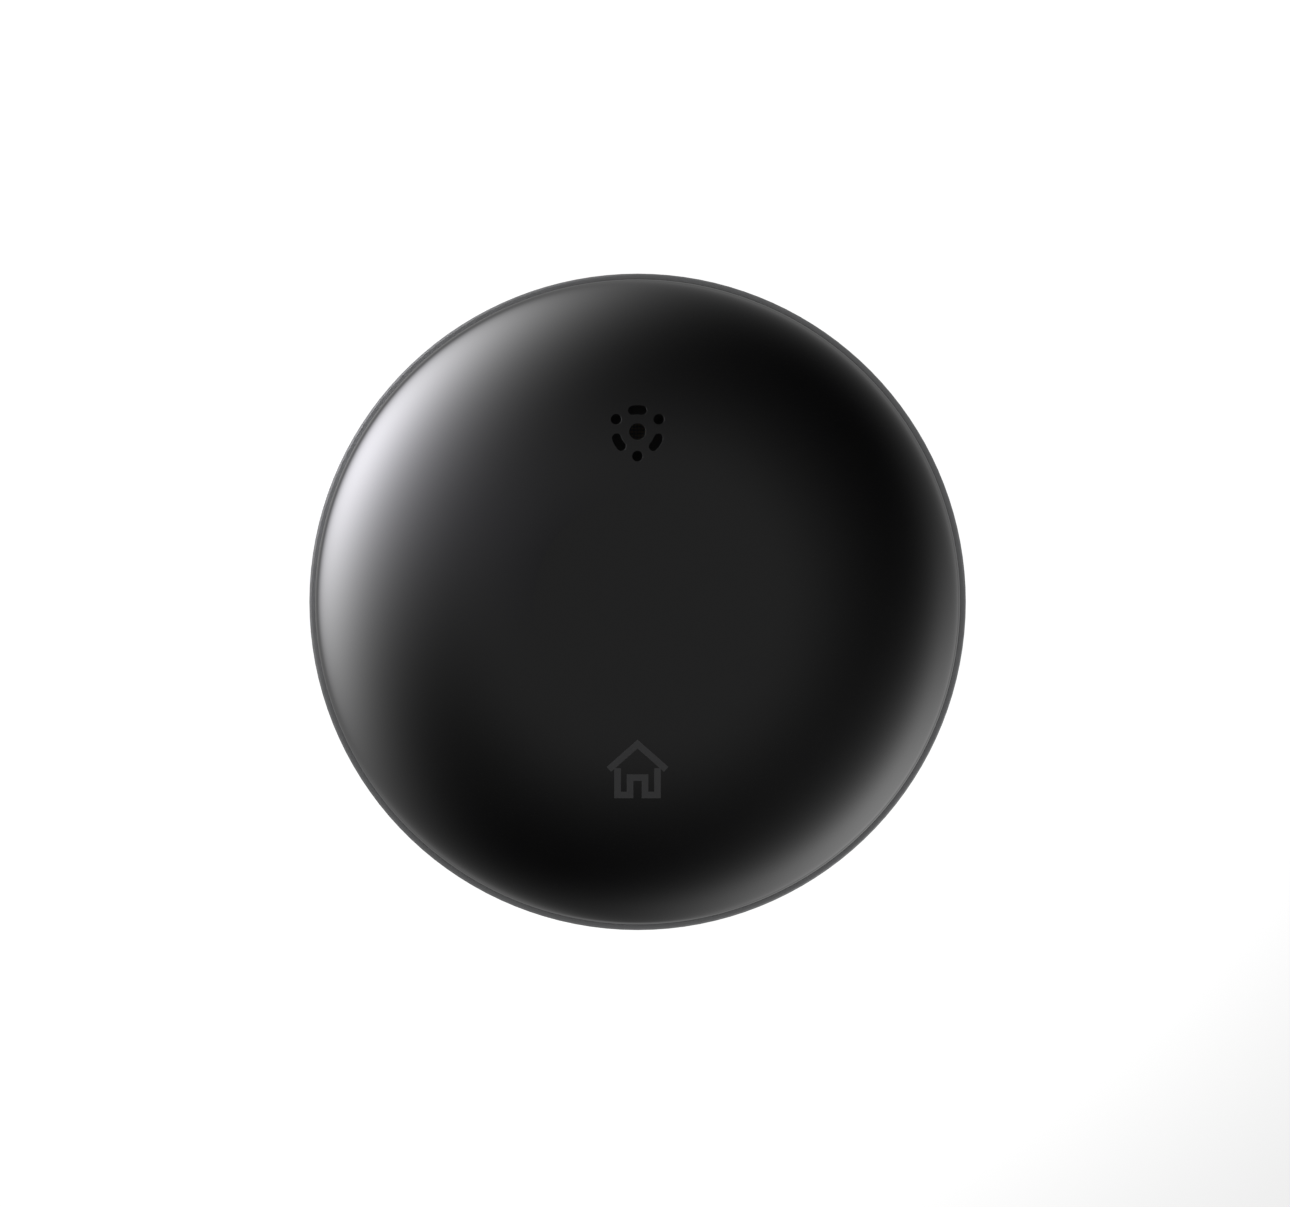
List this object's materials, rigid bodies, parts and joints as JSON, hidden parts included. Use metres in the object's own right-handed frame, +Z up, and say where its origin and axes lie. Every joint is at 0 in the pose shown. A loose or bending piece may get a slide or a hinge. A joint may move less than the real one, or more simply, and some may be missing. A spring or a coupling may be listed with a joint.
{
  "type": "smart home hub",
  "caption": "Round puck-shaped smart home hub: gloss domed cover with sound holes on a tapered base, with a rear power port and a reset button.",
  "frame": {"origin": "on the table under the middle of the hub, at the underside of the foot ring", "axes": "+Z up through the dome's crown; +Y to the rear, where the power port is; the sound holes are towards +Y and the home mark towards -Y"},
  "size_m": [0.08, 0.08, 0.022],
  "materials": {
    "cover_gloss": "deep gloss black, lacquered",
    "base_satin": "satin moulded, dark grey",
    "foot_rubber": "matt, slightly tacky",
    "label_film": "blank printed film, satin",
    "screw_steel": "zinc plated",
    "foam": "open-cell foam",
    "speaker_cloth": "fine black acoustic cloth",
    "sounder_plastic": "moulded black",
    "sounder_brass": "rolled sheet",
    "piezo_ceramic": "silvered ceramic",
    "tinned_wire": "tinned",
    "clear_guide": "clear polycarbonate",
    "lamp_body": "white with a clear lens",
    "board_mask": "solder mask, green",
    "module_mask": "solder mask, dark blue",
    "tinned_sheet": "tinned sheet",
    "chip_resin": "moulded resin",
    "contact_gold": "gold plated",
    "port_resin": "moulded black",
    "button_plastic": "satin moulded",
    "plunger_plastic": "moulded",
    "heat_pad": "soft filled silicone",
    "tape": "double-sided film",
    "plate_steel": "stamped, zinc plated",
    "ferrite": "moulded ferrite",
    "tantalum": "moulded"
  },
  "bodies": {
    "hub": {"ballast_plate": "plate_steel", "base_shell": "base_satin", "board_screws": "screw_steel", "bulk_capacitors": "tantalum", "case_screws": "screw_steel", "chamber_gasket": "foam", "chip_capacitors": "tantalum", "chip_resistors": "chip_resin", "choke": "ferrite", "crystal": "tinned_sheet", "dome_cover": "cover_gloss", "dust_mesh": "speaker_cloth", "flash_chip": "chip_resin", "flash_legs": "tinned_wire", "foot_ring": "foot_rubber", "id_label": "label_film", "light_guide": "clear_guide", "main_board": "board_mask", "mesh_radio_antenna": "tinned_sheet", "mesh_radio_board": "module_mask", "mesh_radio_can": "tinned_sheet", "mesh_radio_chip": "chip_resin", "plate_tape": "tape", "port_contacts": "contact_gold", "port_insulator": "port_resin", "port_shell": "tinned_sheet", "power_chip": "chip_resin", "sounder_base": "sounder_plastic", "sounder_case": "sounder_plastic", "sounder_ceramic": "piezo_ceramic", "sounder_disc": "sounder_brass", "sounder_pins": "tinned_wire", "status_lamp": "lamp_body", "switch_body": "chip_resin", "switch_frame": "tinned_sheet", "thermal_pad": "heat_pad", "wlan_antenna": "tinned_sheet", "wlan_board": "module_mask", "wlan_can": "tinned_sheet", "wlan_chip": "chip_resin"},
    "reset_button": {"reset_button": "button_plastic"},
    "switch_plunger": {"switch_plunger": "plunger_plastic"}
  },
  "joints": [
    {"name": "reset_press", "type": "slide", "parent": "hub", "child": "reset_button", "axis": [0, -1, 0], "range_m": [0, 0.00035], "stiffness_N_per_m": 1500, "springref_m": -0.0004},
    {"name": "plunger_press", "type": "slide", "parent": "hub", "child": "switch_plunger", "axis": [0, -1, 0], "range_m": [0, 0.00035]}
  ],
  "couplings": [
    {"joint": "plunger_press", "follows": "reset_press", "ratio": 1}
  ]
}
